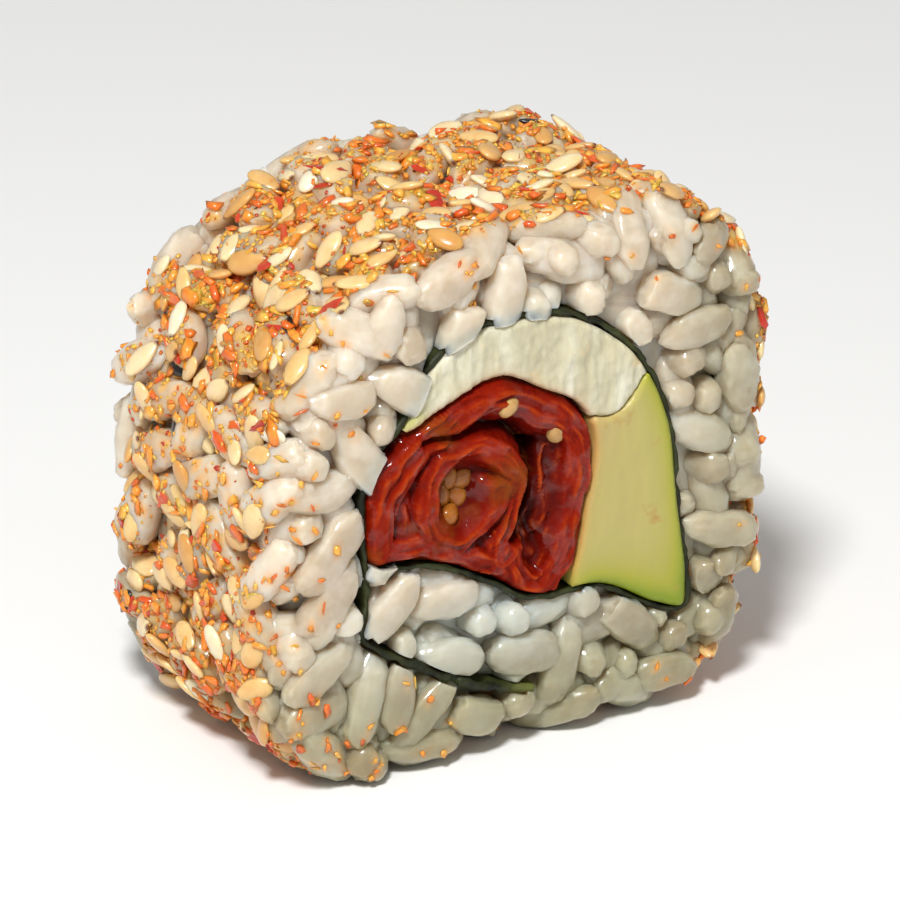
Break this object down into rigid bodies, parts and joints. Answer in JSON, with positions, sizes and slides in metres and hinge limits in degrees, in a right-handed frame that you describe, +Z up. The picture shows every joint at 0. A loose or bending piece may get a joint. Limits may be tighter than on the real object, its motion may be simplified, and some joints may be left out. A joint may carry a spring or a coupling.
{
  "type": "uramaki roll",
  "caption": "Inside-out sushi roll cut to a thick slice: seeded rice round a nori spiral with dried tomato, soft cheese and avocado, resting on its flattened side",
  "frame": {"origin": "the middle of the flat base, straight under the roll's axis", "axes": "+Z up, Y along the roll's axis with the cut face that shows the fuller filling towards -Y, +X to the right as seen on that face"},
  "size_m": [0.0411, 0.0239, 0.0379],
  "materials": {
    "rice": "moist cooked grains, coated with toasted sesame and chilli flakes",
    "nori": "moist dark green seaweed sheet, slightly wrinkled",
    "dried_tomato": "oily, wrinkled",
    "soft_cheese": "soft satin with knife streaks",
    "avocado": "smooth, moist"
  },
  "bodies": {
    "root": {"rice": "rice", "nori": "nori", "dried_tomato": "dried_tomato", "soft_cheese": "soft_cheese", "avocado": "avocado"}
  },
  "joints": []
}
